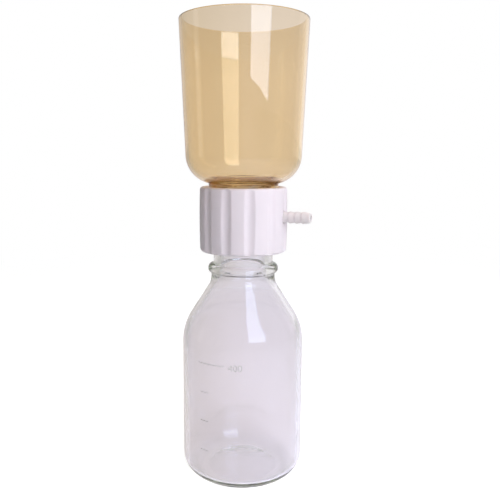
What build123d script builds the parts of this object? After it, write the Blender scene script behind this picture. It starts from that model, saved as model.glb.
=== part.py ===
from build123d import *
import os
from math import cos, radians, tan

# Vacuum filtration unit: a funnel screwed into a filter holder, which is screwed onto a GL45 bottle.
# Millimetres, at real size. The origin is on the common axis, at the surface that the bottle
# stands on, with +Z up and the hose barb along +X.

# Screw threads
thread_pitch = 4
thread_depth = 1.6
thread_base_width = 2.2
thread_tip_width = 1.0
thread_clearance = 0.45  # radial, between a ridge and the wall that it runs along
thread_root_bury = 0.3  # how far a ridge's foot reaches into its wall

# Bottle: body
bottle_height = 176
bottle_radius = 43
bottle_wall = 3.1
heel_radius = 14
inner_heel_radius = 10
resting_ring_width = 4
push_up = 2.5  # hollow under the base
base_edge_thickness = 5
base_centre_thickness = 4
shoulder_radius = 38.5
shoulder_slope = 32.8  # degrees from the axis
shoulder_to_neck_radius = 14.5
inner_neck_curve_radius = 40

# Bottle: neck
neck_thread_radius = 22.5  # crest of the GL45 thread
neck_wall = 5.4
neck_base_height = 6.8  # from the corner of the shoulder's cone up to the bead
bead_overhang = 2.2
bead_height = 6.2
bead_bottom_round = 2
bead_top_round = 3.2
bead_to_lip = 22.5
lip_outer_round = 1.6
lip_inner_round = 1.2
neck_thread_drop = 12.8  # from the lip down to the first turn
neck_thread_length = 9.2

# Seals and filter
bottle_gasket_thickness = 2
bottle_gasket_margin = 0.3
filter_diameter = 47
membrane_thickness = 0.2
screen_thickness = 2.5
screen_hole_diameter = 2
screen_ring_step = 3.8
screen_ring_count = 5
filter_clearance = 0.4  # between the filter's edge and its recess
seal_width = 3.2
funnel_gasket_thickness = 2

# Filter holder: outside
holder_height = 44.9
grip_wall = 2.45
grip_bulge = 0.45
grip_edge_round = 2
flute_count = 12
flute_radius = 6.3
flute_depth = 0.85

# Filter holder: lower socket, for the bottle
skirt_depth = 15.8
skirt_wall = 2.3
skirt_thread_lift = 2.2  # from the skirt's lower end up to the first turn
skirt_thread_length = 9.6
pocket_width = 2.6
pocket_depth = 19
rib_width = 5
mouth_chamfer = 0.8

# Filter holder: upper socket, for the funnel, and the drain under the screen
socket_depth = 12.8
recess_depth = 3.7  # from the screen's ledge up to the threaded bore
socket_thread_length = 4.6
socket_thread_drop = 1.5  # from the holder's top down to the last turn
screen_ledge_width = 2.4
drain_edge_depth = 1
drain_slope_height = 1.5
web_thickness = 2.2
spout_outer_radius = 7
spout_bore_radius = 4.5
spout_length = 30
spout_bevel_height = 4
insert_seat_width = 1.5  # how far the drain insert's rim reaches past the chamber's wall
insert_clearance = 0.05

# Hose barb and its port
chamber_clearance = 0.5
port_drop = 2.6  # from the vacuum chamber's roof down to the port's axis
port_step = 3
spot_face_depth = 1.1
spot_face_clearance = 0.4
shank_radius = 3
shank_clearance = 0.05
shank_end_gap = 0.2
barb_bore_radius = 1.9
barb_flange_radius = 4.2
barb_flange_thickness = 1.2
barb_root_radius = 3.7
barb_peak_radius = 4.2
barb_valley_radius = 3.5
barb_first_peak = 5.3  # from the flange's seat
barb_pitch = 4.6
barb_count = 3
barb_rise_length = 1.4
barb_length = 20
barb_tip_radius = 3.3
barb_tip_round = 1.2

# Funnel
funnel_height = 119.6
funnel_rim_radius = 44
funnel_wall = 2.2
funnel_draft = 2.44  # degrees
funnel_corner_radius = 20
funnel_base_slope = 14.3  # degrees, how steeply the underside rises outward from the neck
funnel_gap = 2.4  # from the holder's top up to the funnel's underside at the neck
funnel_neck_overlap = 0.7  # how far the neck's outside reaches past the filter's edge
funnel_neck_round = 0.8
funnel_throat_round = 4
funnel_rim_round = 0.6
funnel_thread_lift = 1.6  # from the neck's lower end up to the first turn
funnel_thread_length = 7
funnel_thread_angle = 76  # degrees, where the first turn begins

# Levels that follow from the sizes above
lip_level = bottle_height
seat_level = lip_level + bottle_gasket_thickness
holder_bottom = seat_level - skirt_depth
holder_top = holder_bottom + holder_height
ledge_level = holder_top - socket_depth
screen_top = ledge_level + screen_thickness
membrane_top = screen_top + membrane_thickness
funnel_bottom = membrane_top + funnel_gasket_thickness
funnel_underside = holder_top + funnel_gap
funnel_top = funnel_bottom + funnel_height
drain_edge_level = ledge_level - drain_edge_depth
drain_floor_level = drain_edge_level - drain_slope_height
chamber_roof = drain_floor_level - web_thickness
port_level = chamber_roof - port_drop
bead_top = lip_level - bead_to_lip
bead_bottom = bead_top - bead_height
neck_corner_level = bead_bottom - neck_base_height

# Radii that follow from the sizes above
neck_radius = neck_thread_radius - thread_depth
neck_bore_radius = neck_radius - neck_wall
bead_radius = neck_thread_radius + bead_overhang
skirt_bore_radius = neck_thread_radius + thread_clearance
filter_radius = filter_diameter / 2
recess_radius = filter_radius + filter_clearance
throat_radius = filter_radius - seal_width
funnel_neck_radius = filter_radius + funnel_neck_overlap
socket_bore_radius = funnel_neck_radius + thread_depth + thread_clearance
pocket_inner_radius = skirt_bore_radius + skirt_wall
pocket_outer_radius = pocket_inner_radius + pocket_width
grip_radius = max(pocket_outer_radius, socket_bore_radius) + grip_wall
chamber_radius = neck_bore_radius - chamber_clearance
drain_radius = filter_radius - screen_ledge_width
insert_radius = chamber_radius + insert_seat_width
insert_seat_radius = insert_radius + insert_clearance
spot_face = grip_radius - spot_face_depth
shank_start = chamber_radius + port_step + shank_end_gap


def thread_ridge(wall_radius, outward, start_level, length, start_angle=0):
    """A right-hand helical ridge on a round wall, standing outward on a neck or inward in a socket."""
    side = 1 if outward else -1
    foot = -side * thread_root_bury
    tip = side * thread_depth
    with BuildPart() as ridge:
        with BuildLine():
            course = Helix(thread_pitch, length, wall_radius, center=(0, 0, start_level))
        with BuildSketch(Plane(origin=course @ 0, x_dir=(1, 0, 0), z_dir=course % 0)):
            with BuildLine():
                Polyline(
                    (foot, -thread_base_width / 2),
                    (tip, -thread_tip_width / 2),
                    (tip, thread_tip_width / 2),
                    (foot, thread_base_width / 2),
                    close=True,
                )
            make_face()
        sweep(path=course, is_frenet=True)
    return ridge.part.rotate(Axis.Z, start_angle)


def interleaved_angle(female_start_level, male_start_level, male_start_angle=0):
    """The start angle that puts a socket's ridge midway between the turns of the neck in it."""
    turns = (female_start_level - male_start_level) / thread_pitch
    return male_start_angle + 360 * (turns + 0.5)


# Where each thread begins
neck_thread_start = lip_level - neck_thread_drop
skirt_thread_start = holder_bottom + skirt_thread_lift
funnel_thread_start = funnel_bottom + funnel_thread_lift
socket_thread_start = holder_top - socket_thread_drop - socket_thread_length

neck_ridge = thread_ridge(neck_radius, True, neck_thread_start, neck_thread_length)
funnel_ridge = thread_ridge(
    funnel_neck_radius,
    True,
    funnel_thread_start,
    funnel_thread_length,
    funnel_thread_angle,
)
skirt_ridge = thread_ridge(
    skirt_bore_radius,
    False,
    skirt_thread_start,
    skirt_thread_length,
    interleaved_angle(skirt_thread_start, neck_thread_start),
)
socket_ridge = thread_ridge(
    socket_bore_radius,
    False,
    socket_thread_start,
    socket_thread_length,
    interleaved_angle(socket_thread_start, funnel_thread_start, funnel_thread_angle),
)

# Bottle: blown glass with a pushed-up base, a sloping shoulder and a beaded GL45 neck
ring_inner_radius = bottle_radius - heel_radius - resting_ring_width
inner_radius = bottle_radius - bottle_wall
slope = tan(radians(shoulder_slope))
shoulder_corner_level = neck_corner_level - (bottle_radius - neck_thread_radius) / slope
inner_shoulder_level = shoulder_corner_level - bottle_wall * tan(radians(shoulder_slope / 2))
inner_neck_level = inner_shoulder_level + (inner_radius - neck_bore_radius) / slope
floor_centre = push_up + base_centre_thickness

with BuildPart() as bottle:
    with BuildSketch(Plane.XZ):
        with BuildLine():
            TangentArc((0, push_up), (ring_inner_radius, 0), tangent=(1, 0))
            FilletPolyline(
                (ring_inner_radius, 0),
                (bottle_radius, 0),
                (bottle_radius, shoulder_corner_level),
                (neck_thread_radius, neck_corner_level),
                (neck_thread_radius, bead_bottom),
                (bead_radius, bead_bottom),
                (bead_radius, bead_top),
                (neck_radius, bead_top),
                (neck_radius, lip_level),
                (neck_bore_radius, lip_level),
                (neck_bore_radius, inner_neck_level),
                (inner_radius, inner_shoulder_level),
                (inner_radius, base_edge_thickness),
                (ring_inner_radius, base_edge_thickness),
                radius=(
                    heel_radius,
                    shoulder_radius,
                    shoulder_to_neck_radius,
                    0,
                    bead_bottom_round,
                    bead_top_round,
                    0,
                    lip_outer_round,
                    lip_inner_round,
                    inner_neck_curve_radius,
                    shoulder_radius - bottle_wall,
                    inner_heel_radius,
                ),
            )
            TangentArc((0, floor_centre), (ring_inner_radius, base_edge_thickness), tangent=(1, 0))
            Line((0, push_up), (0, floor_centre))
        make_face()
    revolve(axis=Axis.Z)
    add(neck_ridge)
bottle.part.label = "bottle"

# Bottle gasket: a flat ring between the bottle's lip and the roof of the holder's lower socket
with BuildPart() as bottle_gasket:
    with BuildSketch(Plane.XY.offset(lip_level)):
        Circle(neck_radius + bottle_gasket_margin)
        Circle(neck_bore_radius + bottle_gasket_margin, mode=Mode.SUBTRACT)
    extrude(amount=bottle_gasket_thickness)
bottle_gasket.part.label = "bottle_gasket"

# Filter holder: one moulding, with a fluted grip round two threaded sockets
with BuildPart() as filter_holder:
    with BuildSketch(Plane.XY.offset(holder_bottom)):
        Circle(grip_radius + grip_bulge)
        with PolarLocations(grip_radius - flute_depth + flute_radius, flute_count):
            Circle(flute_radius, mode=Mode.SUBTRACT)
    extrude(amount=holder_height)

    # The grip swells slightly at its waist, and its two ends are rounded
    with BuildSketch(Plane.XZ):
        with BuildLine():
            bulge = ThreePointArc(
                (grip_radius, holder_bottom),
                (grip_radius + grip_bulge, holder_bottom + holder_height / 2),
                (grip_radius, holder_top),
            )
            Polyline(bulge @ 1, (0, holder_top), (0, holder_bottom), bulge @ 0)
        barrel = make_face()
        fillet(barrel.vertices().group_by(Axis.X)[-1], grip_edge_round)
    revolve(axis=Axis.Z, mode=Mode.INTERSECT)

    # Lower socket, the vacuum chamber above it and the seat of the drain insert
    with BuildSketch(Plane.XZ):
        with BuildLine():
            Polyline(
                (0, holder_bottom),
                (skirt_bore_radius + mouth_chamfer, holder_bottom),
                (skirt_bore_radius, holder_bottom + mouth_chamfer),
                (skirt_bore_radius, seat_level),
                (chamber_radius, seat_level),
                (chamber_radius, chamber_roof),
                (insert_seat_radius, chamber_roof),
                (insert_seat_radius, drain_edge_level),
                (0, drain_edge_level),
                close=True,
            )
        make_face()
    revolve(axis=Axis.Z, mode=Mode.SUBTRACT)

    # Upper socket, the recess for the screen and the dished drain under it
    with BuildSketch(Plane.XZ):
        with BuildLine():
            Polyline(
                (0, drain_floor_level),
                (spout_bore_radius, drain_floor_level),
                (drain_radius, drain_edge_level),
                (drain_radius, ledge_level),
                (recess_radius, ledge_level),
                (recess_radius, ledge_level + recess_depth),
                (socket_bore_radius, ledge_level + recess_depth),
                (socket_bore_radius, holder_top - mouth_chamfer),
                (socket_bore_radius + mouth_chamfer, holder_top),
                (0, holder_top),
                close=True,
            )
        make_face()
    revolve(axis=Axis.Z, mode=Mode.SUBTRACT)

    # Pockets that core out the skirt, with a rib behind each flute
    with BuildSketch(Plane.XY.offset(holder_bottom)):
        Circle(pocket_outer_radius)
        Circle(pocket_inner_radius, mode=Mode.SUBTRACT)
        with PolarLocations((pocket_inner_radius + pocket_outer_radius) / 2, flute_count):
            Rectangle(2 * pocket_width, rib_width, mode=Mode.SUBTRACT)
    extrude(amount=pocket_depth, mode=Mode.SUBTRACT)

    # Port for the hose barb: a passage into the chamber, a socket for the shank and a flat seat
    port_axis_plane = Plane(origin=(0, 0, port_level), x_dir=(0, 1, 0), z_dir=(1, 0, 0))
    with BuildSketch(port_axis_plane.offset(chamber_radius - port_step)):
        Circle(barb_bore_radius)
    extrude(amount=2 * port_step, mode=Mode.SUBTRACT)
    with BuildSketch(port_axis_plane.offset(chamber_radius + port_step)):
        Circle(shank_radius + shank_clearance)
    extrude(until=Until.LAST, mode=Mode.SUBTRACT)
    with BuildSketch(port_axis_plane.offset(spot_face)):
        Circle(barb_flange_radius + spot_face_clearance)
    extrude(amount=2 * spot_face_depth + grip_bulge, mode=Mode.SUBTRACT)

    add(skirt_ridge)
    add(socket_ridge)
filter_holder.part.label = "filter_holder"

# Drain insert: a dished disc pressed into the holder, with a drip spout bevelled at its lower end
drain_slope = drain_slope_height / (drain_radius - spout_bore_radius)
insert_rim_level = drain_floor_level + (insert_radius - spout_bore_radius) * drain_slope
spout_tip_level = chamber_roof - spout_length

with BuildPart() as drain_insert:
    with BuildSketch(Plane.XZ):
        with BuildLine():
            Polyline(
                (spout_bore_radius, spout_tip_level),
                (spout_outer_radius, spout_tip_level),
                (spout_outer_radius, chamber_roof),
                (insert_radius, chamber_roof),
                (insert_radius, insert_rim_level),
                (spout_bore_radius, drain_floor_level),
                close=True,
            )
        make_face()
    revolve(axis=Axis.Z)
    with BuildSketch(Plane.XZ):
        with BuildLine():
            Polyline(
                (-spout_outer_radius, spout_tip_level),
                (spout_outer_radius, spout_tip_level),
                (spout_outer_radius, spout_tip_level + spout_bevel_height),
                close=True,
            )
        make_face()
    extrude(amount=spout_outer_radius, both=True, mode=Mode.SUBTRACT)
drain_insert.part.label = "drain_insert"

# Hose barb: a shank that is pressed into the port, a flange and a ribbed nipple
with BuildPart() as hose_barb:
    with BuildSketch(Plane.XZ):
        flange_end = spot_face + barb_flange_thickness
        last_peak = spot_face + barb_first_peak + (barb_count - 1) * barb_pitch
        barb_end = spot_face + barb_length
        outline = [
            (shank_start, barb_bore_radius),
            (shank_start, shank_radius),
            (spot_face, shank_radius),
            (spot_face, barb_flange_radius),
            (flange_end, barb_flange_radius),
            (flange_end, barb_root_radius),
        ]
        for index in range(barb_count):
            peak = spot_face + barb_first_peak + index * barb_pitch
            outline += [(peak - barb_rise_length, barb_valley_radius), (peak, barb_peak_radius)]
        outline += [(barb_end, barb_tip_radius), (barb_end, barb_bore_radius)]
        with BuildLine():
            Polyline(*[(along, port_level + radius) for along, radius in outline], close=True)
        nipple = make_face()
        fillet(nipple.vertices().sort_by(Axis.X)[-2:].sort_by(Axis.Z)[-1], barb_tip_round)
    revolve(axis=Axis((0, 0, port_level), (1, 0, 0)))
hose_barb.part.label = "hose_barb"

# Support screen: a drilled disc that carries the membrane
with BuildPart() as support_screen:
    with BuildSketch(Plane.XY.offset(ledge_level)):
        Circle(filter_radius)
        Circle(screen_hole_diameter / 2, mode=Mode.SUBTRACT)
        for ring in range(1, screen_ring_count + 1):
            with PolarLocations(ring * screen_ring_step, 6 * ring):
                Circle(screen_hole_diameter / 2, mode=Mode.SUBTRACT)
    extrude(amount=screen_thickness)
support_screen.part.label = "support_screen"

# Membrane: the filter itself
with BuildPart() as membrane:
    with BuildSketch(Plane.XY.offset(screen_top)):
        Circle(filter_radius)
    extrude(amount=membrane_thickness)
membrane.part.label = "membrane"

# Funnel gasket: a flat ring that clamps the membrane's edge
with BuildPart() as funnel_gasket:
    with BuildSketch(Plane.XY.offset(membrane_top)):
        Circle(filter_radius)
        Circle(throat_radius, mode=Mode.SUBTRACT)
    extrude(amount=funnel_gasket_thickness)
funnel_gasket.part.label = "funnel_gasket"

# Funnel: a moulded cup with a drafted wall, a rounded base that rises outward and a threaded neck
draft = tan(radians(funnel_draft))
base_rise = tan(radians(funnel_base_slope))
inner_rim_radius = funnel_rim_radius - funnel_wall
floor_level = funnel_underside + funnel_wall / cos(radians(funnel_base_slope))


def base_corner(rim_radius, neck_level):
    """Where a drafted wall from the rim meets a base that is at neck_level at the neck's radius."""
    height = funnel_top - neck_level + funnel_neck_radius * base_rise
    radius = (rim_radius - height * draft) / (1 - base_rise * draft)
    return radius, neck_level + (radius - funnel_neck_radius) * base_rise


outer_corner = base_corner(funnel_rim_radius, funnel_underside)
inner_corner = base_corner(inner_rim_radius, floor_level)
throat_level = floor_level - (funnel_neck_radius - throat_radius) * base_rise
base_width = outer_corner[0] - funnel_neck_radius - funnel_neck_round
corner_half_turn = radians(90 - funnel_draft - funnel_base_slope) / 2
widest_corner = base_width / cos(radians(funnel_base_slope)) / tan(corner_half_turn)
corner_round = min(funnel_corner_radius, widest_corner)

with BuildPart() as funnel:
    with BuildSketch(Plane.XZ):
        with BuildLine():
            FilletPolyline(
                (throat_radius, funnel_bottom),
                (funnel_neck_radius, funnel_bottom),
                (funnel_neck_radius, funnel_underside),
                outer_corner,
                (funnel_rim_radius, funnel_top),
                (inner_rim_radius, funnel_top),
                inner_corner,
                (throat_radius, throat_level),
                radius=(
                    0,
                    0,
                    funnel_neck_round,
                    corner_round,
                    funnel_rim_round,
                    funnel_rim_round,
                    corner_round - funnel_wall,
                    funnel_throat_round,
                ),
                close=True,
            )
        make_face()
    revolve(axis=Axis.Z)
    add(funnel_ridge)
funnel.part.label = "funnel"

os.makedirs("parts", exist_ok=True)
for piece in (
    bottle,
    bottle_gasket,
    filter_holder,
    drain_insert,
    hose_barb,
    support_screen,
    membrane,
    funnel_gasket,
    funnel,
):
    export_step(piece.part, f"parts/{piece.part.label}.step")
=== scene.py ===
from math import atan2, ceil, cos, degrees, hypot, pi, radians, sin, sqrt, tan

import bpy
from mathutils import Matrix, Vector


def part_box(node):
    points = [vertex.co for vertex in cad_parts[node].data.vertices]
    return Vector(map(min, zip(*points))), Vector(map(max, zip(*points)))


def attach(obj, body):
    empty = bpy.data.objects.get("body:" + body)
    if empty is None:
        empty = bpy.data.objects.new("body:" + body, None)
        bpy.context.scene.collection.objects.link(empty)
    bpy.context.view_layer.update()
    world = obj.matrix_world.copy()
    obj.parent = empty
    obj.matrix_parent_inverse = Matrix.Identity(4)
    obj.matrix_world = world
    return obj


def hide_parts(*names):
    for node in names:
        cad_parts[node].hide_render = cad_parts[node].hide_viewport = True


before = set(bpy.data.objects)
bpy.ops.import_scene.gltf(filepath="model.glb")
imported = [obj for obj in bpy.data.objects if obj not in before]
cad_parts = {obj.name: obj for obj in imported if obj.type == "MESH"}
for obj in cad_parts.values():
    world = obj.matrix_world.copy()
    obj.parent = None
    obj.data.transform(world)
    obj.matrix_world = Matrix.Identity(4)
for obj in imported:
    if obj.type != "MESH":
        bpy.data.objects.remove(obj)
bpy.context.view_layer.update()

# Vacuum filtration unit: an amber cup screwed into a white filter holder, on a glass bottle.
# Sizes are in millimetres, and MM turns them into the metres that the pieces are made in.
# Angles are in degrees unless their comment says otherwise.
MM = 0.001


def low(node):
    """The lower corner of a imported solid's box, in millimetres."""
    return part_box(node)[0] / MM


def high(node):
    """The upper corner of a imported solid's box, in millimetres."""
    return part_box(node)[1] / MM


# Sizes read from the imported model
bottle_radius = high("bottle").x
lip_level = high("bottle").z
seat_level = high("bottle_gasket").z
holder_bottom = low("filter_holder").z
holder_top = high("filter_holder").z
ledge_level = low("support_screen").z
filter_radius = high("membrane").x
funnel_bottom = low("funnel").z
funnel_top = high("funnel").z
barb_peak_radius = high("hose_barb").y
barb_start = low("hose_barb").x
barb_end = high("hose_barb").x
port_level = high("hose_barb").z - barb_peak_radius

# Meshes: steps round the axis, and degrees between the points of an arc
round_steps = 256
ring_steps = 128
barb_steps = 96
port_steps = 48
steps_per_flute = 38
large_round = 5
large_round_step = 3.5
small_round_step = 8
merge_distance = 0.001
crease_angle = 32

# How far a point may be from a wall, a level or a face and still be taken as on it
wall_slack = 0.02
level_slack = 0.01
face_slack = 0.1

# Screw threads, with the half widths of a ridge at its foot and at its crest. The ridge is raised
# on rows of faces, and each neck or bore says below how far the rows stay from its ends.
thread_pitch = 4
thread_depth = 1.6
thread_clearance = 0.45
thread_foot = 1.25
thread_crest = 0.4
thread_run_out = 1
row_height = 0.32

# Bottle
bottle_wall = 3.1
heel_round = 14
inner_heel_round = 7
ring_inner_radius = 25
push_up = 2.5
base_edge_thickness = 5
base_centre_thickness = 4
shoulder_round = 38.5
shoulder_slope = 32.8
neck_curve_round = 14.5
inner_neck_curve_round = 40
neck_radius = 20.9
neck_bore_radius = 15.5
bead_overhang = 2.2
bead_height = 6.2
bead_root_round = 0.8
bead_bottom_round = 2
bead_top_round = 3.2
bead_to_lip = 22.5
neck_root_round = 0.5
neck_base_height = 6.8
neck_thread_drop = 12.8
neck_thread_length = 9.2
bead_to_rows = 1.2
rows_to_lip = 1.8
lip_outer_round = 1.6
lip_inner_round = 1.2

# Filter holder
grip_radius = 30.3
grip_bulge = 0.45
grip_rows = 8
grip_edge_round = 2
flute_count = 12
flute_radius = 6.3
flute_depth = 0.85
flute_edge_softness = 0.12
skirt_bore_radius = neck_radius + thread_depth + thread_clearance
skirt_thread_lift = 2.2
skirt_thread_length = 9.6
skirt_mouth_to_rows = 0.2
rows_to_seat = 2
pocket_inner_radius = skirt_bore_radius + 2.3
pocket_outer_radius = pocket_inner_radius + 2.6
pocket_depth = 19
rib_width = 5
mouth_chamfer = 0.8
chamber_radius = neck_bore_radius - 0.5
insert_seat_radius = chamber_radius + 1.55
drain_radius = filter_radius - 2.4
drain_edge_level = ledge_level - 1
insert_rim_level = high("drain_insert").z
chamber_roof = ledge_level - 4.7
recess_radius = filter_radius + 0.4
recess_depth = 3.7
recess_edge_round = 0.2
socket_edge_round = 0.3
chamfer_edge_round = 0.1
socket_lip_round = 0.4
skirt_lip_round = 0.2
skirt_roof_round = 0.3
spot_face = grip_radius - 1.1
spot_face_radius = barb_peak_radius + 0.4
port_reach = 3
port_overshoot = 2
port_clearance = 0.05

# Hose barb
barb_bore_radius = 1.9
shank_radius = 3
barb_flange_thickness = 1.2
barb_root_radius = 3.7
barb_valley_radius = 3.5
barb_first_peak = 5.3
barb_pitch = 4.6
barb_count = 3
barb_rise_length = 1.4
barb_tip_radius = 3.3
shank_edge_round = 0.3
flange_back_round = 0.2
flange_edge_round = 0.4
barb_ridge_round = 0.5
barb_tip_round = 1.2

# Seals and membrane
seal_edge_round = 0.5
lower_seal_inset = 0.3
membrane_edge_round = 0.08

# Funnel
funnel_neck_radius = filter_radius + 0.7
throat_radius = filter_radius - 3.2
funnel_rim_radius = 44
funnel_wall = 2.2
funnel_draft = 2.44
funnel_corner_round = 20
funnel_base_slope = 14.3
funnel_gap = 2.4
funnel_foot_inner_round = 0.2
funnel_foot_round = 0.3
funnel_neck_fillet = 0.8
funnel_rim_round = 0.6
throat_round = 4
funnel_thread_lift = 1.6
funnel_thread_length = 7
funnel_thread_angle = 76
funnel_foot_to_rows = 0.6
rows_to_underside = 0.9
socket_bore_radius = funnel_neck_radius + thread_depth + thread_clearance
socket_thread_length = 4.6
socket_thread_drop = 1.5
recess_to_rows = 0.8
rows_to_socket_mouth = 0.1

# Graduation, with its marks placed along the wall from an angle
graduation_angle = -87.5
full_volume = 400
full_line_level = 90.7
full_line_span = -18.2, 2.2
number_level = 89.9
number_start = 5
number_height = 4.4
digit_height_share = 0.69
part_line_levels = {300: 70.4, 200: 50.1, 100: 29}
part_line_span = -16.6, -9.7
line_width = 0.5
enamel_thickness = 0.04
enamel_clearance = 0.01

# Where the threads begin, and the lowest and highest levels of the rows in the holder's bores
neck_thread_start = lip_level - neck_thread_drop
skirt_thread_start = holder_bottom + skirt_thread_lift
skirt_rows = holder_bottom + mouth_chamfer + skirt_mouth_to_rows, seat_level - rows_to_seat
funnel_thread_start = funnel_bottom + funnel_thread_lift
socket_thread_start = holder_top - socket_thread_drop - socket_thread_length
socket_bottom = ledge_level + recess_depth
socket_rows = socket_bottom + recess_to_rows, holder_top - mouth_chamfer - rows_to_socket_mouth


# Outlines

def corner_arc(before, corner, after, size):
    """The points that round one corner of an outline, closer together on a large round."""
    arc_step = large_round_step if size > large_round else small_round_step
    back = (before - corner).normalized()
    ahead = (after - corner).normalized()
    turn = pi - back.angle(ahead)
    start = corner + back * size * tan(turn / 2)
    middle = corner + (back + ahead).normalized() * size / cos(turn / 2)
    way = 1 if back.x * ahead.y - back.y * ahead.x < 0 else -1
    count = max(2, ceil(degrees(turn) / arc_step))
    spoke = start - middle
    return [middle + Matrix.Rotation(way * turn * i / count, 2) @ spoke for i in range(count + 1)]


def rounded(*corners, closed=False):
    """An outline through (radius, level, round) corners, with each round one turned into an arc."""
    places = [Vector(corner[:2]) for corner in corners]
    outline = []
    for i, (place, corner) in enumerate(zip(places, corners)):
        is_end = not closed and i in (0, len(corners) - 1)
        if is_end or corner[2] == 0:
            outline.append(place)
        else:
            outline += corner_arc(places[i - 1], place, places[(i + 1) % len(places)], corner[2])
    return outline + outline[:1] if closed else outline


def dished(radius, rim_level, centre_level, count=10):
    """The outline of a shallow dish, from its centre out to its rim."""
    shares = [i / count for i in range(count + 1)]
    return [Vector((radius * s, centre_level + (rim_level - centre_level) * s * s)) for s in shares]


# Modelling

def finished(piece, body, finish):
    """Leaves a piece shaded and painted, with its place in its mesh, riding on its body."""
    bpy.ops.object.shade_smooth_by_angle(angle=radians(crease_angle))
    even = piece.modifiers.new("even shading", "WEIGHTED_NORMAL")
    even.keep_sharp = True
    bpy.ops.object.modifier_apply(modifier=even.name)
    piece.data.materials.clear()
    piece.data.materials.append(finish)
    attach(piece, body)
    return piece


def merge_and_face_outwards():
    """Merges the doubles of the mesh in edit mode and turns its faces outwards."""
    bpy.ops.mesh.select_all(action="SELECT")
    bpy.ops.mesh.remove_doubles(threshold=merge_distance * MM)
    bpy.ops.mesh.normals_make_consistent(inside=False)
    bpy.ops.object.mode_set(mode="OBJECT")


def turned(name, outline, steps, axis="Z", level=0):
    """Spins an outline into a closed shell.

    Its points are (radius, level) round the Z axis, or (along, radius) round an X axis at a level.
    """
    def place(point):
        if axis == "Z":
            return Vector((point.x, 0, point.y)) * MM
        return Vector((point.x, 0, level + point.y)) * MM

    bpy.ops.object.select_all(action="DESELECT")
    bpy.ops.mesh.primitive_circle_add(vertices=3, radius=MM, location=place(outline[0]))
    piece = bpy.context.object
    piece.name = piece.data.name = name
    bpy.ops.object.mode_set(mode="EDIT")
    bpy.ops.mesh.select_mode(type="VERT")
    bpy.ops.mesh.select_all(action="SELECT")
    bpy.ops.mesh.merge(type="CENTER")
    for start, end in zip(outline, outline[1:]):
        step = place(end) - place(start)
        bpy.ops.mesh.extrude_region_move(TRANSFORM_OT_translate={"value": step})
    bpy.ops.mesh.select_all(action="SELECT")
    direction = (0, 0, 1) if axis == "Z" else (1, 0, 0)
    bpy.ops.mesh.spin(steps=steps, angle=2 * pi, center=(0, 0, level * MM), axis=direction)
    merge_and_face_outwards()
    bpy.ops.object.transform_apply(location=True, rotation=False, scale=False)
    return piece


def pick(piece, kind, wanted):
    """Leaves only the edges or faces that answer to wanted selected, in edit mode."""
    bpy.ops.object.mode_set(mode="EDIT")
    bpy.ops.mesh.select_mode(type={"edges": "EDGE", "polygons": "FACE"}[kind])
    bpy.ops.mesh.select_all(action="DESELECT")
    bpy.ops.object.mode_set(mode="OBJECT")
    for item in getattr(piece.data, kind):
        item.select = wanted(item)
    bpy.ops.object.mode_set(mode="EDIT")


def on_wall(place, radius, bottom, top):
    """True for a place on the round wall of that radius, between two levels."""
    near = abs(hypot(place.x, place.y) - radius * MM) < wall_slack * MM
    return near and bottom - level_slack < place.z / MM < top + level_slack


def eased(share):
    """A share held between 0 and 1, and eased at both ends."""
    share = min(max(share, 0), 1)
    return share * share * (3 - 2 * share)


def ridge_height(across):
    """From 0 to 1 over a thread's ridge, across millimetres from its middle."""
    return eased((thread_foot - abs(across)) / (thread_foot - thread_crest))


def thread(piece, radius, bottom, top, outward, start, length, start_angle=0):
    """Raises a right-hand screw thread on the round wall between two levels.

    The ridge begins at the start level and angle, and rises along its length. Its ends run out.
    """
    def crosses(edge):
        a, b = (piece.data.vertices[v].co for v in edge.vertices)
        both = on_wall(a, radius, bottom, top) and on_wall(b, radius, bottom, top)
        return both and abs(a.z - b.z) > face_slack * MM

    pick(piece, "edges", crosses)
    bpy.ops.mesh.subdivide(number_cuts=round((top - bottom) / row_height))
    bpy.ops.object.mode_set(mode="OBJECT")
    side = 1 if outward else -1
    for vertex in piece.data.vertices:
        place = vertex.co
        if not on_wall(place, radius, bottom, top):
            continue
        turns = (degrees(atan2(place.y, place.x)) - start_angle) / 360
        height = place.z / MM
        turn = round((height - start) / thread_pitch - turns) + turns
        middle = start + turn * thread_pitch
        lead_in = eased((middle - start) / thread_run_out + 0.5)
        lead_out = eased((start + length - middle) / thread_run_out + 0.5)
        rise = side * thread_depth * ridge_height(height - middle) * lead_in * lead_out
        place.xy *= 1 + rise / radius


def off_flute(angle):
    """The angle from the middle of the nearest flute. Both are in radians."""
    spacing = 2 * pi / flute_count
    return (angle + spacing / 2) % spacing - spacing / 2


def flute_floor(angle):
    """The distance from the axis to a flute's surface, or far out where the angle meets none."""
    off = abs(off_flute(angle))
    reach = grip_radius - flute_depth + flute_radius
    beside = reach * sin(off)
    if beside >= flute_radius:
        return 2 * grip_radius
    return reach * cos(off) - sqrt(flute_radius**2 - beside**2)


def soft_least(a, b, softness):
    """The lesser of two distances, eased from one to the other where they are nearly the same."""
    gap = max(softness * 4 - abs(a - b), 0) / (softness * 4)
    return min(a, b) - gap * gap * softness


def apply_boolean(piece, cutter):
    """Cuts one piece with another, which is then taken away."""
    bpy.ops.object.select_all(action="DESELECT")
    piece.select_set(True)
    bpy.context.view_layer.objects.active = piece
    cut = piece.modifiers.new("cut", "BOOLEAN")
    cut.operation = "DIFFERENCE"
    cut.solver = "EXACT"
    cut.object = cutter
    bpy.ops.object.modifier_apply(modifier=cut.name)
    bpy.data.objects.remove(cutter)


# Shader nodes

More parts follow.
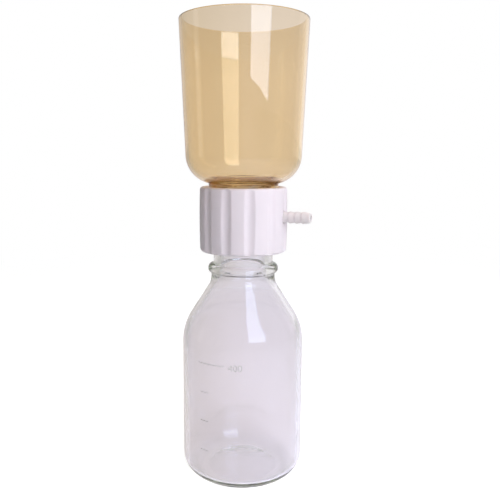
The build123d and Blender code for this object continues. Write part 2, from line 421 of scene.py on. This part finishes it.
class Wire:
    """An output socket. Python's operators on it add Math nodes."""

    def __init__(self, socket):
        self.socket = socket

    def maths(self, operation, first, second):
        tree = self.socket.id_data
        node = tree.nodes.new("ShaderNodeMath")
        node.operation = operation
        for slot, value in zip(node.inputs, (first, second)):
            if isinstance(value, Wire):
                tree.links.new(value.socket, slot)
            else:
                slot.default_value = value
        return Wire(node.outputs[0])

    def __add__(self, other):
        return self.maths("ADD", self, other)

    def __radd__(self, other):
        return self.maths("ADD", other, self)

    def __sub__(self, other):
        return self.maths("SUBTRACT", self, other)

    def __rsub__(self, other):
        return self.maths("SUBTRACT", other, self)

    def __mul__(self, other):
        return self.maths("MULTIPLY", self, other)

    def __rmul__(self, other):
        return self.maths("MULTIPLY", other, self)

    def __truediv__(self, other):
        return self.maths("DIVIDE", self, other)

    def __rtruediv__(self, other):
        return self.maths("DIVIDE", other, self)

    def __or__(self, other):
        return self.maths("MAXIMUM", self, other)

    def __gt__(self, other):
        return self.maths("GREATER_THAN", self, other)


class Nodes:
    """The node tree of a material, the world or a lamp."""

    def __init__(self, owner):
        owner.use_nodes = True
        self.tree = owner.node_tree
        self.tree.nodes.clear()

    def add(self, kind, settings=None, inputs=None, output=0):
        """Adds a node with its settings first and then its inputs, and gives one of its outputs."""
        node = self.tree.nodes.new("ShaderNode" + kind)
        for name, value in (settings or {}).items():
            setattr(node, name, value)
        for name, value in (inputs or {}).items():
            if isinstance(value, Wire):
                self.tree.links.new(value.socket, node.inputs[name])
            else:
                node.inputs[name].default_value = value
        return Wire(node.outputs[output]) if node.outputs else None

    def out(self, surface, kind="Material", volume=None):
        """Leads a shader, and a volume if there is one, to the output of a kind of owner."""
        inputs = {"Surface": surface, "Volume": volume} if volume else {"Surface": surface}
        self.add("Output" + kind, inputs=inputs)

    def ray(self, fact):
        """What Light Path says of the ray that meets the surface."""
        return self.add("LightPath", output=fact)

    def eased(self, value, start, end, first=0.0, last=1.0):
        """Goes from first to last, eased at both ends, while value goes from start to end."""
        limits = {"From Min": start, "From Max": end, "To Min": first, "To Max": last}
        smooth = {"interpolation_type": "SMOOTHSTEP"}
        return self.add("MapRange", smooth, {"Value": value, **limits})

    def noise(self, size, detail=2.0, stretch=(1, 1, 1), roughness=0.5):
        """A noise pattern whose lumps are about size millimetres across, from 0 to 1."""
        place = self.add("TexCoord", output="Object")
        place = self.add("Mapping", {"vector_type": "POINT"}, {"Vector": place, "Scale": stretch})
        fields = {"Scale": 1 / (size * MM), "Detail": detail, "Roughness": roughness}
        return self.add("TexNoise", {"noise_dimensions": "3D"}, {"Vector": place, **fields})

    def blend(self, share, first, second):
        """One colour turning into another, by a Mix node's inputs 6 and 7 and its output 2."""
        start, end = ((*c, 1) if isinstance(c, tuple) else c for c in (first, second))
        return self.add("Mix", {"data_type": "RGBA"}, {0: share, 6: start, 7: end}, output=2)

    def bump(self, height, depth, strength=1.0):
        """A relief whose height of 1 stands depth millimetres proud."""
        fields = {"Height": height, "Distance": depth * MM, "Strength": strength}
        return self.add("Bump", inputs=fields, output="Normal")


def spread(pattern, least, most):
    """A noise pattern with more contrast, turned into a value that swings from least to most."""
    contrast = 1.6
    centred = (pattern - 0.5) * contrast + 0.5
    return centred * (most - least) + least


def material(name):
    """A new material and its empty node tree."""
    made = bpy.data.materials.new(name)
    return made, Nodes(made)


def clear_finish(name, pale, deep, ior, wave_size, wave_depth, absorbed, density, passed):
    """A clear wall: tinted glass or plastic, a little wavy, with faint smears in its gloss.

    Its surfaces vary from pale to deep, and absorbed and passed tint its thickness and its shadow.
    """
    made, nodes = material(name)
    ripple_share = 0.12
    waves = nodes.noise(wave_size, stretch=(1, 1, 0.35))
    ripples = nodes.noise(wave_size / 5, detail=1)
    smears = nodes.noise(size=14, detail=4, stretch=(1, 1, 0.5), roughness=0.6)
    patches = nodes.noise(size=45, detail=3)
    relief = nodes.bump(waves + ripples * ripple_share, wave_depth)
    wall = nodes.add(
        "BsdfPrincipled",
        inputs={
            "Base Color": nodes.blend(spread(patches, 0, 1), pale, deep),
            "Roughness": spread(smears, 0, 0.03),
            "IOR": ior,
            "Transmission Weight": 1,
            "Normal": relief,
        },
    )
    passing = nodes.add("BsdfTransparent", inputs={"Color": (*passed, 1)})
    depth = nodes.add("VolumeAbsorption", inputs={"Color": (*absorbed, 1), "Density": density})
    to_lamp = nodes.ray("Is Shadow Ray")
    nodes.out(nodes.add("MixShader", inputs={0: to_lamp, 1: wall, 2: passing}), volume=depth)
    return made


def moulded_finish(name, colour, shade, roughness, grain_size, grain_depth, subsurface=0.0):
    """An opaque moulded plastic: faint flow marks in its colour, a fine grain and scuffed gloss."""
    made, nodes = material(name)
    swell_depth = 0.12
    flow = nodes.noise(size=16, detail=3, stretch=(1, 1, 0.4))
    scuffs = nodes.noise(size=5, detail=5, roughness=0.65)
    grain = nodes.noise(grain_size, detail=2)
    swell = nodes.noise(size=22, detail=1)
    relief = nodes.bump(grain * grain_depth + swell * swell_depth, 1)
    polished, scuffed = roughness - 0.06, roughness + 0.08
    nodes.out(
        nodes.add(
            "BsdfPrincipled",
            inputs={
                "Base Color": nodes.blend(spread(flow, 0, 1), colour, shade),
                "Roughness": spread(scuffs, polished, scuffed),
                "IOR": 1.49,
                "Subsurface Weight": subsurface,
                "Subsurface Radius": (1.2, 1.0, 1.0),
                "Subsurface Scale": 1.2 * MM,
                "Normal": relief,
            },
        )
    )
    return made


bottle_glass_finish = clear_finish(
    "clear_glass",
    pale=(0.908, 0.901, 0.933),
    deep=(0.885, 0.876, 0.907),
    ior=1.473,
    wave_size=30,
    wave_depth=0.35,
    absorbed=(0.55, 0.625, 0.40),
    density=15,
    passed=(0.95, 0.95, 0.95),
)
funnel_plastic_finish = clear_finish(
    "amber_plastic",
    pale=(0.914, 0.823, 0.648),
    deep=(0.895, 0.799, 0.613),
    ior=1.6,
    wave_size=40,
    wave_depth=0.10,
    absorbed=(0.80, 0.61, 0.18),
    density=75,
    passed=(0.92, 0.85, 0.74),
)
holder_plastic_finish = moulded_finish(
    "white_moulding",
    colour=(0.85, 0.80, 0.87),
    shade=(0.81, 0.76, 0.83),
    roughness=0.34,
    grain_size=0.5,
    grain_depth=0.006,
    subsurface=0.12,
)
barb_plastic_finish = moulded_finish(
    "white_barb_moulding",
    colour=(0.84, 0.80, 0.815),
    shade=(0.80, 0.755, 0.775),
    roughness=0.38,
    grain_size=0.5,
    grain_depth=0.006,
    subsurface=0.2,
)
screen_plastic_finish = moulded_finish(
    "white_screen_moulding",
    colour=(0.80, 0.80, 0.80),
    shade=(0.74, 0.74, 0.745),
    roughness=0.5,
    grain_size=0.4,
    grain_depth=0.01,
)
seal_rubber_finish = moulded_finish(
    "silicone_rubber",
    colour=(0.76, 0.76, 0.74),
    shade=(0.70, 0.70, 0.68),
    roughness=0.45,
    grain_size=0.8,
    grain_depth=0.015,
    subsurface=0.3,
)
membrane_finish = moulded_finish(
    "porous_film",
    colour=(0.88, 0.88, 0.87),
    shade=(0.82, 0.82, 0.81),
    roughness=0.85,
    grain_size=0.25,
    grain_depth=0.02,
)
enamel_finish = moulded_finish(
    "pale_enamel",
    colour=(0.69, 0.68, 0.71),
    shade=(0.64, 0.63, 0.66),
    roughness=0.55,
    grain_size=0.3,
    grain_depth=0.01,
)


# Bottle

def make_bottle():
    """The bottle with its heel, pushed-up base, shoulder, bead and threaded neck, as one shell."""
    slope = tan(radians(shoulder_slope))
    bead_top = lip_level - bead_to_lip
    bead_bottom = bead_top - bead_height
    bead_radius = neck_radius + thread_depth + bead_overhang
    neck_foot_radius = neck_radius + thread_depth
    neck_corner = bead_bottom - neck_base_height
    shoulder_corner = neck_corner - (bottle_radius - neck_foot_radius) / slope
    inner_radius = bottle_radius - bottle_wall
    inner_shoulder = shoulder_corner - bottle_wall * tan(radians(shoulder_slope / 2))
    inner_neck_corner = inner_shoulder + (inner_radius - neck_bore_radius) / slope
    floor_centre = push_up + base_centre_thickness
    thread_bottom = bead_top + bead_to_rows
    thread_top = lip_level - rows_to_lip
    base = dished(ring_inner_radius, 0, push_up)
    wall = rounded(
        (ring_inner_radius, 0, 0),
        (bottle_radius, 0, heel_round),
        (bottle_radius, shoulder_corner, shoulder_round),
        (neck_foot_radius, neck_corner, neck_curve_round),
        (neck_foot_radius, bead_bottom, bead_root_round),
        (bead_radius, bead_bottom, bead_bottom_round),
        (bead_radius, bead_top, bead_top_round),
        (neck_radius, bead_top, neck_root_round),
        (neck_radius, thread_bottom, 0),
        (neck_radius, thread_top, 0),
        (neck_radius, lip_level, lip_outer_round),
        (neck_bore_radius, lip_level, lip_inner_round),
        (neck_bore_radius, inner_neck_corner, inner_neck_curve_round),
        (inner_radius, inner_shoulder, shoulder_round - bottle_wall),
        (inner_radius, base_edge_thickness, inner_heel_round),
        (ring_inner_radius, base_edge_thickness, 0),
    )
    floor_dish = dished(ring_inner_radius, base_edge_thickness, floor_centre)
    bottle = turned("bottle_glass", base[:-1] + wall + floor_dish[-2::-1], round_steps)
    thread(
        bottle,
        neck_radius,
        thread_bottom,
        thread_top,
        outward=True,
        start=neck_thread_start,
        length=neck_thread_length,
    )
    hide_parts("bottle")
    return finished(bottle, "bottle", bottle_glass_finish)


# Graduation, printed on the bottle

def wrapped(piece, level):
    """Bends a flat print onto the bottle's wall. Its back is on the XY plane, and x runs along."""
    for vertex in piece.data.vertices:
        along, up, proud = vertex.co / MM
        angle = radians(graduation_angle) + along / bottle_radius
        radius = bottle_radius + enamel_clearance + proud
        place = Vector((radius * cos(angle), radius * sin(angle), level + up))
        vertex.co = place * MM
    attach(piece, "bottle")
    piece.data.materials.clear()
    piece.data.materials.append(enamel_finish)
    return piece


def make_graduation_line(name, level, start, end):
    """A printed line round the bottle between two distances along the wall."""
    bpy.ops.object.select_all(action="DESELECT")
    middle = Vector(((start + end) / 2, 0, enamel_thickness / 2)) * MM
    bpy.ops.mesh.primitive_cube_add(size=MM, location=middle)
    line = bpy.context.object
    line.name = line.data.name = name
    line.scale = (end - start, line_width, enamel_thickness)
    bpy.ops.object.transform_apply(location=True, rotation=True, scale=True)

    def runs_along(edge):
        a, b = (line.data.vertices[v].co for v in edge.vertices)
        return abs(a.x - b.x) > line_width * MM

    pick(line, "edges", runs_along)
    bpy.ops.mesh.subdivide(number_cuts=ceil(end - start))
    bpy.ops.object.mode_set(mode="OBJECT")
    return wrapped(line, level)


def make_graduation_number(name, text, level, start, height):
    """A printed number whose left end is at a distance along the wall."""
    bpy.ops.object.select_all(action="DESELECT")
    bpy.ops.object.text_add(location=(0, 0, 0))
    number = bpy.context.object
    number.data.body = text
    number.data.size = height * MM / digit_height_share
    number.data.extrude = enamel_thickness / 2 * MM
    number.data.resolution_u = 3
    bpy.ops.object.convert(target="MESH")
    number = bpy.context.object
    number.name = number.data.name = name
    left = min(vertex.co.x for vertex in number.data.vertices)
    for vertex in number.data.vertices:
        vertex.co += Vector((start * MM - left, -height / 2 * MM, enamel_thickness / 2 * MM))
    bpy.ops.object.mode_set(mode="EDIT")
    merge_and_face_outwards()
    return wrapped(number, level)


def make_graduation():
    """The line and number of the full volume, and the short lines of its parts."""
    name = f"graduation_number_{full_volume}"
    make_graduation_line(f"graduation_line_{full_volume}", full_line_level, *full_line_span)
    make_graduation_number(name, str(full_volume), number_level, number_start, number_height)
    for volume, level in part_line_levels.items():
        make_graduation_line(f"graduation_line_{volume}", level, *part_line_span)


# Filter holder

def interleaved_angle(socket_start, neck_start, neck_angle=0):
    """The start angle that puts a socket's ridge midway between the turns of the neck in it."""
    return neck_angle + 360 * ((socket_start - neck_start) / thread_pitch + 0.5)


def holder_outline():
    """The closed outline of the holder, with a grip that bulges a little at its waist."""
    waist = (holder_top + holder_bottom) / 2
    half = (holder_top - holder_bottom) / 2
    sides = []
    for row in range(1, grip_rows):
        share = 1 - 2 * row / grip_rows
        sides.append((grip_radius + grip_bulge * (1 - share**2), waist + share * half, 0))
    return rounded(
        (insert_seat_radius, insert_rim_level, 0),
        (drain_radius, drain_edge_level, 0),
        (drain_radius, ledge_level, recess_edge_round),
        (recess_radius, ledge_level, recess_edge_round),
        (recess_radius, socket_bottom, socket_edge_round),
        (socket_bore_radius, socket_bottom, socket_edge_round),
        (socket_bore_radius, socket_rows[0], 0),
        (socket_bore_radius, socket_rows[1], 0),
        (socket_bore_radius, holder_top - mouth_chamfer, chamfer_edge_round),
        (socket_bore_radius + mouth_chamfer, holder_top, socket_lip_round),
        (grip_radius, holder_top, grip_edge_round),
        *sides,
        (grip_radius, holder_bottom, grip_edge_round),
        (pocket_outer_radius, holder_bottom, 0),
        (pocket_inner_radius, holder_bottom, 0),
        (skirt_bore_radius + mouth_chamfer, holder_bottom, skirt_lip_round),
        (skirt_bore_radius, holder_bottom + mouth_chamfer, chamfer_edge_round),
        (skirt_bore_radius, skirt_rows[0], 0),
        (skirt_bore_radius, skirt_rows[1], 0),
        (skirt_bore_radius, seat_level, skirt_roof_round),
        (chamber_radius, seat_level, skirt_roof_round),
        (chamber_radius, chamber_roof, 0),
        (insert_seat_radius, chamber_roof, 0),
        closed=True,
    )


def press_flutes(holder):
    """Presses the grip in where the flutes run."""
    for vertex in holder.data.vertices:
        place = vertex.co
        radius = hypot(place.x, place.y) / MM
        if radius > pocket_outer_radius + face_slack:
            floor_radius = flute_floor(atan2(place.y, place.x))
            place.xy *= soft_least(radius, floor_radius, flute_edge_softness) / radius


def raise_pockets(holder):
    """Hollows the skirt from below, between the ribs that stand behind the flutes."""
    rib_half_angle = rib_width / (pocket_inner_radius + pocket_outer_radius)

    def over_pocket(face):
        centre = face.center / MM
        in_ring = pocket_inner_radius < hypot(centre.x, centre.y) < pocket_outer_radius
        beside_rib = abs(off_flute(atan2(centre.y, centre.x))) > rib_half_angle
        return in_ring and beside_rib and centre.z < holder_bottom + face_slack

    pick(holder, "polygons", over_pocket)
    rise = {"value": (0, 0, pocket_depth * MM)}
    bpy.ops.mesh.extrude_region_move(TRANSFORM_OT_translate=rise)
    bpy.ops.object.mode_set(mode="OBJECT")


def cut_port(holder):
    """Cuts a spot face for the barb's flange, a hole for its shank and a passage to the chamber."""
    port = rounded(
        (chamber_radius - port_reach, 0, 0),
        (chamber_radius - port_reach, barb_bore_radius, 0),
        (chamber_radius + port_reach, barb_bore_radius, 0),
        (chamber_radius + port_reach, shank_radius + port_clearance, 0),
        (spot_face, shank_radius + port_clearance, 0),
        (spot_face, spot_face_radius, 0),
        (grip_radius + port_overshoot, spot_face_radius, 0),
        (grip_radius + port_overshoot, 0, 0),
    )
    apply_boolean(holder, turned("port_cutter", port, port_steps, axis="X", level=port_level))


def make_holder():
    """The fluted holder, with a threaded skirt below and a threaded socket on top."""
    holder = turned("holder_body", holder_outline(), steps_per_flute * flute_count)
    press_flutes(holder)
    thread(
        holder,
        skirt_bore_radius,
        *skirt_rows,
        outward=False,
        start=skirt_thread_start,
        length=skirt_thread_length,
        start_angle=interleaved_angle(skirt_thread_start, neck_thread_start),
    )
    socket_angle = interleaved_angle(socket_thread_start, funnel_thread_start, funnel_thread_angle)
    thread(
        holder,
        socket_bore_radius,
        *socket_rows,
        outward=False,
        start=socket_thread_start,
        length=socket_thread_length,
        start_angle=socket_angle,
    )
    raise_pockets(holder)
    cut_port(holder)
    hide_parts("filter_holder")
    return finished(holder, "holder", holder_plastic_finish)


def make_barb():
    """The hose barb, with a shank in the port, a flange and three ribs."""
    flange_end = spot_face + barb_flange_thickness
    corners = [
        (barb_start, barb_bore_radius, 0),
        (barb_start, shank_radius, shank_edge_round),
        (spot_face, shank_radius, 0),
        (spot_face, barb_peak_radius, flange_back_round),
        (flange_end, barb_peak_radius, flange_edge_round),
        (flange_end, barb_root_radius, flange_edge_round),
    ]
    for index in range(barb_count):
        peak = spot_face + barb_first_peak + index * barb_pitch
        corners += [(peak - barb_rise_length, barb_valley_radius, barb_ridge_round)]
        corners += [(peak, barb_peak_radius, barb_ridge_round)]
    corners += [(barb_end, barb_tip_radius, barb_tip_round)]
    corners += [(barb_end, barb_bore_radius, shank_edge_round)]
    outline = rounded(*corners, closed=True)
    barb = turned("barb_nipple", outline, barb_steps, axis="X", level=port_level)
    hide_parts("hose_barb")
    return finished(barb, "holder", barb_plastic_finish)


# Seals and membrane

def make_seal(name, node, inner_radius, body):
    """A flat rubber ring with soft edges."""
    bottom, top, outer_radius = low(node).z, high(node).z, high(node).x
    outline = rounded(
        (inner_radius, bottom, seal_edge_round),
        (outer_radius, bottom, seal_edge_round),
        (outer_radius, top, seal_edge_round),
        (inner_radius, top, seal_edge_round),
        closed=True,
    )
    ring = turned(name, outline, ring_steps)
    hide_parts(node)
    return finished(ring, body, seal_rubber_finish)


def make_membrane():
    """The round filter membrane, with a soft edge."""
    bottom, top = low("membrane").z, high("membrane").z
    outline = rounded(
        (0, bottom, 0),
        (filter_radius, bottom, membrane_edge_round),
        (filter_radius, top, membrane_edge_round),
        (0, top, 0),
    )
    film = turned("membrane_film", outline, ring_steps)
    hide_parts("membrane")
    return finished(film, "holder", membrane_finish)


# Funnel

def make_funnel():
    """The drafted cup with its rounded, sloping base and threaded neck, as one shell."""
    draft = tan(radians(funnel_draft))
    base_rise = tan(radians(funnel_base_slope))
    underside = holder_top + funnel_gap
    floor_level = underside + funnel_wall / cos(radians(funnel_base_slope))
    throat_level = floor_level - (funnel_neck_radius - throat_radius) * base_rise
    inner_rim = funnel_rim_radius - funnel_wall

    def base_corner(rim_radius, neck_level):
        """Where a drafted side meets a base that rises from the neck at a level."""
        height = funnel_top - neck_level + funnel_neck_radius * base_rise
        radius = (rim_radius - height * draft) / (1 - base_rise * draft)
        return radius, neck_level + (radius - funnel_neck_radius) * base_rise

    thread_bottom = funnel_bottom + funnel_foot_to_rows
    thread_top = underside - rows_to_underside
    outline = rounded(
        (throat_radius, funnel_bottom, funnel_foot_inner_round),
        (funnel_neck_radius, funnel_bottom, funnel_foot_round),
        (funnel_neck_radius, thread_bottom, 0),
        (funnel_neck_radius, thread_top, 0),
        (funnel_neck_radius, underside, funnel_neck_fillet),
        (*base_corner(funnel_rim_radius, underside), funnel_corner_round),
        (funnel_rim_radius, funnel_top, funnel_rim_round),
        (inner_rim, funnel_top, funnel_rim_round),
        (*base_corner(inner_rim, floor_level), funnel_corner_round - funnel_wall),
        (throat_radius, throat_level, throat_round),
        closed=True,
    )
    funnel = turned("funnel_cup", outline, round_steps)
    thread(
        funnel,
        funnel_neck_radius,
        thread_bottom,
        thread_top,
        outward=True,
        start=funnel_thread_start,
        length=funnel_thread_length,
        start_angle=funnel_thread_angle,
    )
    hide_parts("funnel")
    return finished(funnel, "funnel", funnel_plastic_finish)


make_bottle()
make_graduation()
make_holder()
make_barb()
make_seal("bottle_seal_ring", "bottle_gasket", neck_bore_radius + lower_seal_inset, "lower_seal")
make_seal("funnel_seal_ring", "funnel_gasket", throat_radius, "upper_seal")
make_membrane()
make_funnel()

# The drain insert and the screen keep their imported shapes
kept_finishes = {"drain_insert": holder_plastic_finish, "support_screen": screen_plastic_finish}
for node, finish in kept_finishes.items():
    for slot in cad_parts[node].material_slots:
        slot.material = finish


# Floor, light and camera, with their sizes in metres

camera_azimuth = 22
camera_distance = 0.428629
camera_height = 0.228035
camera_pitch = 0.152  # radians
camera_roll = 0.3
camera_lens = 44.09
camera_sensor_width = 36
camera_shift = 0.0136
rightwards = (cos(radians(camera_azimuth)), sin(radians(camera_azimuth)), 0)

ground_radius = 40
ground_white = 0.9
ground_fade = 0.35, 1.0
floor_glow = 0.62
floor_glow_through_walls = 0.42
sky_fill = 0.03
sky_dimming_heights = 0.10, 0.24
sky_overhead = 0.87
backdrop_share_in_gloss = 0.75

# Tones of what clear walls show: left and right of the middle, and at the far left and right
warm_side = (0.88, 0.82, 0.82)
cool_side = (0.97, 0.93, 1.0)
side_change = -0.16, 0.10
sky_ends = (0.66, 0.63, 0.61), (0.93, 0.89, 0.93)
sky_end_change = 0.35, 0.8
floor_ends = (0.62, 0.60, 0.59), (0.78, 0.76, 0.77)
floor_end_change = 0.12, 0.5

# The window's panes, by their corners at (across, height)
window_azimuth = 32
window_distance = 1.0
window_radiance = 3.7
window_colour = (0.95, 0.95, 1)
mirrored_window_colour = (0.78, 0.88, 1.15)
lower_pane = [(-0.39, 0.316), (-0.37, 0.552), (0.27, 0.552), (0.20, 0.27)]
upper_pane = [(-0.37, 0.552), (-0.37, 1.70), (0.26, 1.70), (0.27, 0.552)]

ceiling_height = 1.5

# Light runs a long way inside the funnel's rim before it comes out
bounces = 64


def surroundings(nodes, direction, reach, ends, end_change):
    """The colour round the object: white to look at, and softly toned where clear walls show it.

    Across it, the tones turn into those of the ends between the two shares of end_change.
    """
    sideways = {0: direction, 1: rightwards}
    across = nodes.add("VectorMath", {"operation": "DOT_PRODUCT"}, sideways, output="Value") / reach
    narrow, broad = end_change
    toned = nodes.blend(nodes.eased(across, *side_change), warm_side, cool_side)
    toned = nodes.blend(nodes.eased(across, -broad, -narrow), ends[0], toned)
    toned = nodes.blend(nodes.eased(across, narrow, broad), toned, ends[1])
    return nodes.blend(nodes.ray("Is Camera Ray"), toned, (1, 1, 1))


def shown_directly(nodes):
    """1 for a ray that shows the backdrop, from the camera or through walls, and less off gloss."""
    through_or_seen = nodes.ray("Is Camera Ray") | nodes.ray("Is Transmission Ray")
    return through_or_seen | nodes.ray("Is Glossy Ray") * backdrop_share_in_gloss


def make_floor():
    """A broad pale floor that keeps the shadow near the object and is plain white far from it."""
    bpy.ops.object.select_all(action="DESELECT")
    bpy.ops.mesh.primitive_circle_add(
        vertices=96, radius=ground_radius, fill_type="NGON", location=(0, 0, 0)
    )
    ground = bpy.context.object
    ground.name = ground.data.name = "ground"
    made, nodes = material("pale_ground")
    place = nodes.add("TexCoord", output="Object")
    reach = nodes.add("VectorMath", {"operation": "LENGTH"}, {0: place}, output="Value")
    colour = surroundings(nodes, place, reach + camera_distance, floor_ends, floor_end_change)
    toned = nodes.blend(ground_white, (0, 0, 0), colour)
    matt = nodes.add("BsdfDiffuse", inputs={"Color": (ground_white, ground_white, ground_white, 1)})
    toned_matt = nodes.add("BsdfDiffuse", inputs={"Color": toned})
    extra_glow = nodes.ray("Is Camera Ray") * (floor_glow - floor_glow_through_walls)
    glow_inputs = {"Color": colour, "Strength": extra_glow + floor_glow_through_walls}
    glow = nodes.add("Emission", inputs=glow_inputs)
    plain = nodes.add("Emission", inputs={"Color": colour, "Strength": 1})
    near = nodes.add("AddShader", inputs={0: toned_matt, 1: glow})
    far_share = nodes.eased(reach, *ground_fade)
    shown = nodes.add("MixShader", inputs={0: far_share, 1: near, 2: plain})
    nodes.out(nodes.add("MixShader", inputs={0: shown_directly(nodes), 1: matt, 2: shown}))
    ground.data.materials.append(made)


def make_world():
    """A white sky to look at, which clear walls show toned and dimmer overhead."""
    world = bpy.data.worlds.new("studio")
    bpy.context.scene.world = world
    nodes = Nodes(world)
    direction = nodes.add("TexCoord", output="Generated")
    height = nodes.add("SeparateXYZ", inputs={"Vector": direction}, output="Z")
    dimming = nodes.eased(height, *sky_dimming_heights, first=1, last=sky_overhead)
    strength = shown_directly(nodes) * (1 - sky_fill) + sky_fill
    strength = strength * (dimming | nodes.ray("Is Camera Ray"))
    colour = surroundings(nodes, direction, 1, sky_ends, sky_end_change)
    sky = nodes.add("Background", inputs={"Color": colour, "Strength": strength})
    nodes.out(sky, kind="World")


def has_met(nodes, kind):
    """1 for a ray that has been bent or mirrored on its way, as kind says, and 0 for all others."""
    return nodes.ray(kind + " Depth") > 0.5


def in_mirror_only(nodes):
    """0 for a ray that looks straight through clear walls, and 1 for all others."""
    return 1 - nodes.ray("Is Transmission Ray") * (1 - has_met(nodes, "Glossy"))


def facing_axis(azimuth, distance, height=0):
    """The place and turn of an upright panel. Azimuth is in degrees to the right of the camera."""
    turn = radians(camera_azimuth + azimuth)
    place = Vector((distance * sin(turn), -distance * cos(turn), height))
    upright = Matrix.Rotation(turn, 4, "Z") @ Matrix.Rotation(pi / 2, 4, "X")
    return Matrix.Translation(place) @ upright


def make_window_pane(name, corners, mirrored_radiance, walled_radiance):
    """A glowing pane that shows only as light and in gloss.

    It has one brightness in the gloss of outer surfaces and one in the gloss inside clear walls.
    """
    bpy.ops.object.select_all(action="DESELECT")
    bpy.ops.mesh.primitive_circle_add(vertices=4, radius=1, fill_type="NGON", location=(0, 0, 0))
    pane = bpy.context.object
    pane.name = pane.data.name = name
    stand = facing_axis(window_azimuth, window_distance)
    for vertex, corner in zip(pane.data.vertices, corners):
        vertex.co = stand @ Vector((*corner, 0))
    made, nodes = material(name + "_glow")
    mirrored = has_met(nodes, "Glossy")
    walled = has_met(nodes, "Transmission")
    shown = walled * (walled_radiance - mirrored_radiance) + mirrored_radiance
    strength = mirrored * (shown - window_radiance) + window_radiance
    colour = nodes.blend(mirrored, window_colour, mirrored_window_colour)
    glow = nodes.add("Emission", inputs={"Color": colour, "Strength": strength})
    clear = nodes.add("BsdfTransparent", inputs={"Color": (1, 1, 1, 1)})
    share = in_mirror_only(nodes) * (1 - nodes.add("NewGeometry", output="Backfacing"))
    nodes.out(nodes.add("MixShader", inputs={0: share, 1: clear, 2: glow}))
    pane.data.materials.append(made)
    pane.visible_camera = False


def make_lamp(name, stand, width, height, radiance, colour=(1, 1, 1), mirrored=True):
    """A soft panel that stands, and faces, as told. Only a mirrored one shows in gloss."""
    lamp = bpy.data.lights.new(name, "AREA")
    lamp.shape = "RECTANGLE"
    lamp.size = width
    lamp.size_y = height
    lamp.energy = radiance * pi * width * height
    nodes = Nodes(lamp)
    glow = nodes.add("Emission", inputs={"Color": (*colour, 1), "Strength": in_mirror_only(nodes)})
    nodes.out(glow, kind="Light")
    panel = bpy.data.objects.new(name, lamp)
    bpy.context.scene.collection.objects.link(panel)
    panel.matrix_world = stand
    panel.visible_camera = False
    panel.visible_glossy = mirrored
    panel.visible_transmission = mirrored


def make_camera():
    """The camera, turned round the axis, looking a little down."""
    data = bpy.data.cameras.new("camera")
    data.lens = camera_lens
    data.sensor_width = camera_sensor_width
    data.shift_x = camera_shift
    camera = bpy.data.objects.new("camera", data)
    bpy.context.scene.collection.objects.link(camera)
    turn = radians(camera_azimuth)
    place = Vector((sin(turn) * camera_distance, -cos(turn) * camera_distance, camera_height))
    ahead = Vector((-sin(turn), cos(turn), -tan(camera_pitch)))
    roll = Matrix.Rotation(radians(camera_roll), 3, "Z")
    aim = ahead.to_track_quat("-Z", "Y").to_matrix() @ roll
    camera.matrix_world = Matrix.Translation(place) @ aim.to_4x4()
    bpy.context.scene.camera = camera


make_floor()
make_world()
make_window_pane("window_lower_pane", lower_pane, mirrored_radiance=3.4, walled_radiance=5.4)
make_window_pane("window_upper_pane", upper_pane, mirrored_radiance=1.6, walled_radiance=6.5)
make_lamp(
    "front_panel",
    facing_axis(azimuth=5, distance=1.4, height=0.9),
    width=1.0,
    height=1.0,
    radiance=2.1,
    colour=(1, 0.95, 0.93),
    mirrored=False,
)
make_lamp(
    "side_panel",
    facing_axis(azimuth=72, distance=1.4, height=0.7),
    width=1.3,
    height=1.4,
    radiance=1.5,
    mirrored=False,
)
make_lamp(
    "rim_panel",
    facing_axis(azimuth=136, distance=1.5, height=0.8),
    width=1.5,
    height=1.4,
    radiance=0.2,
)
make_lamp(
    "left_pane",
    facing_axis(azimuth=-90, distance=1.2, height=0.30),
    width=0.25,
    height=0.5,
    radiance=0.35,
)
make_lamp(
    "back_panel",
    facing_axis(azimuth=160, distance=1.5, height=0.8),
    width=1.0,
    height=1.0,
    radiance=1.8,
    mirrored=False,
)
make_lamp(
    "ceiling_panel",
    Matrix.Translation((0, 0, ceiling_height)),
    width=1.0,
    height=1.0,
    radiance=2.0,
    colour=(1, 0.92, 0.84),
    mirrored=False,
)
make_camera()
bpy.context.scene.view_settings.view_transform = "Standard"
cycles = bpy.context.scene.cycles
cycles.max_bounces = cycles.transmission_bounces = cycles.glossy_bounces = bounces
